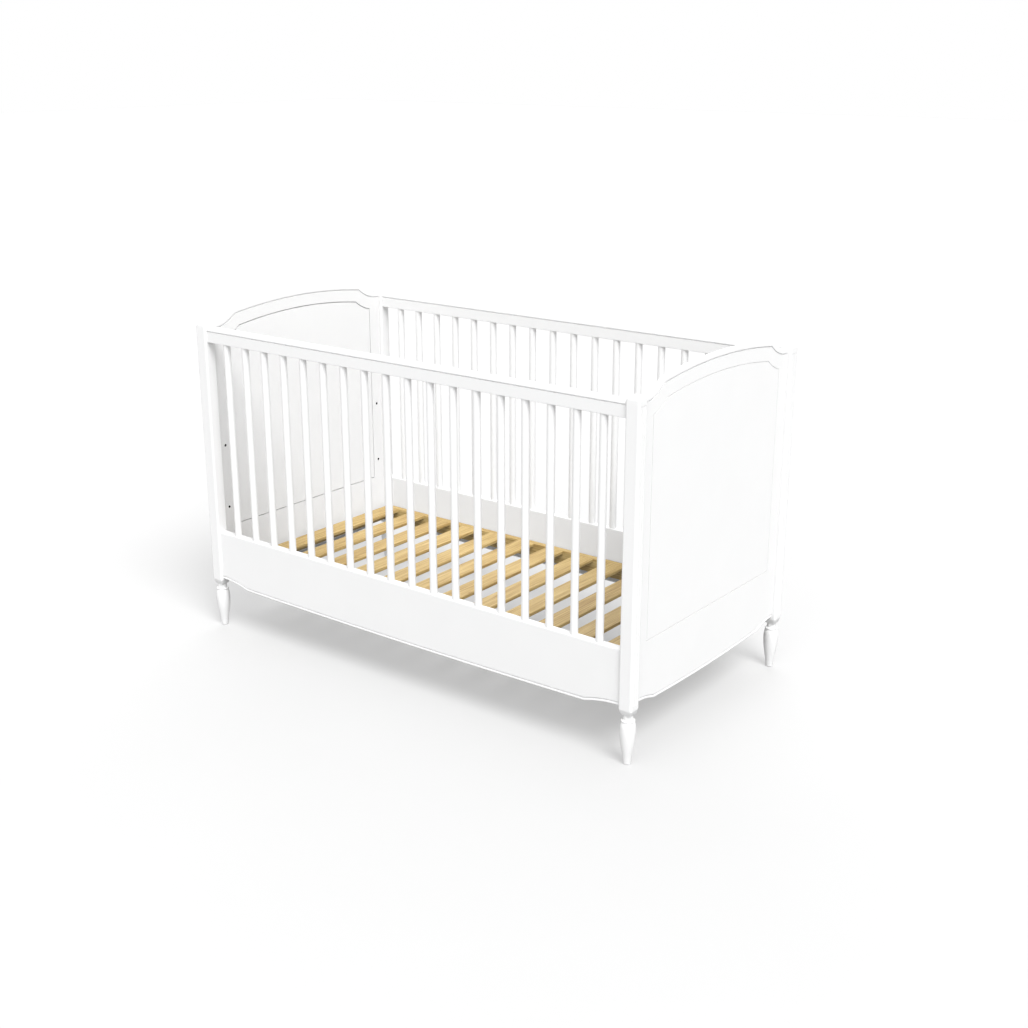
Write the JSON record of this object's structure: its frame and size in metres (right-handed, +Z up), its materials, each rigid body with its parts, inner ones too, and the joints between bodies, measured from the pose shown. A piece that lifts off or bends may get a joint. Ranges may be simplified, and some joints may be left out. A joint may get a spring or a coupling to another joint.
{
  "type": "baby crib",
  "caption": "White painted baby crib with crowned end panels, spindle sides, turned legs and a slatted wooden base that bolts in at different heights.",
  "frame": {"origin": "on the floor under the middle of the crib", "axes": "+X along the crib's length, +Y across it towards the back side, +Z up"},
  "size_m": [1.48, 0.761, 0.9565],
  "materials": {
    "white_paint": "satin white lacquer over smooth wood",
    "pine": "planed pale pine, bare or clear oiled, with fine straight grain",
    "zinc_steel": "bright zinc plating"
  },
  "bodies": {
    "crib_frame": {"apron_back": "white_paint", "apron_front": "white_paint", "base_bolt_back_left": "zinc_steel", "base_bolt_back_right": "zinc_steel", "base_bolt_front_left": "zinc_steel", "base_bolt_front_right": "zinc_steel", "end_panel_left": "white_paint", "end_panel_right": "white_paint", "leg_back_left": "white_paint", "leg_back_right": "white_paint", "leg_front_left": "white_paint", "leg_front_right": "white_paint", "post_back_left": "white_paint", "post_back_right": "white_paint", "post_front_left": "white_paint", "post_front_right": "white_paint", "spindle_back_01": "white_paint", "spindle_back_02": "white_paint", "spindle_back_03": "white_paint", "spindle_back_04": "white_paint", "spindle_back_05": "white_paint", "spindle_back_06": "white_paint", "spindle_back_07": "white_paint", "spindle_back_08": "white_paint", "spindle_back_09": "white_paint", "spindle_back_10": "white_paint", "spindle_back_11": "white_paint", "spindle_back_12": "white_paint", "spindle_back_13": "white_paint", "spindle_back_14": "white_paint", "spindle_back_15": "white_paint", "spindle_back_16": "white_paint", "spindle_back_17": "white_paint", "spindle_back_18": "white_paint", "spindle_front_01": "white_paint", "spindle_front_02": "white_paint", "spindle_front_03": "white_paint", "spindle_front_04": "white_paint", "spindle_front_05": "white_paint", "spindle_front_06": "white_paint", "spindle_front_07": "white_paint", "spindle_front_08": "white_paint", "spindle_front_09": "white_paint", "spindle_front_10": "white_paint", "spindle_front_11": "white_paint", "spindle_front_12": "white_paint", "spindle_front_13": "white_paint", "spindle_front_14": "white_paint", "spindle_front_15": "white_paint", "spindle_front_16": "white_paint", "spindle_front_17": "white_paint", "spindle_front_18": "white_paint", "top_rail_back": "white_paint", "top_rail_front": "white_paint"},
    "base": {"base_batten_left": "pine", "base_batten_right": "pine", "slat_deck": "pine"}
  },
  "joints": [
    {"name": "base_height", "type": "slide", "parent": "crib_frame", "child": "base", "axis": [0, 0, 1], "range_m": [0, 0.375]}
  ]
}
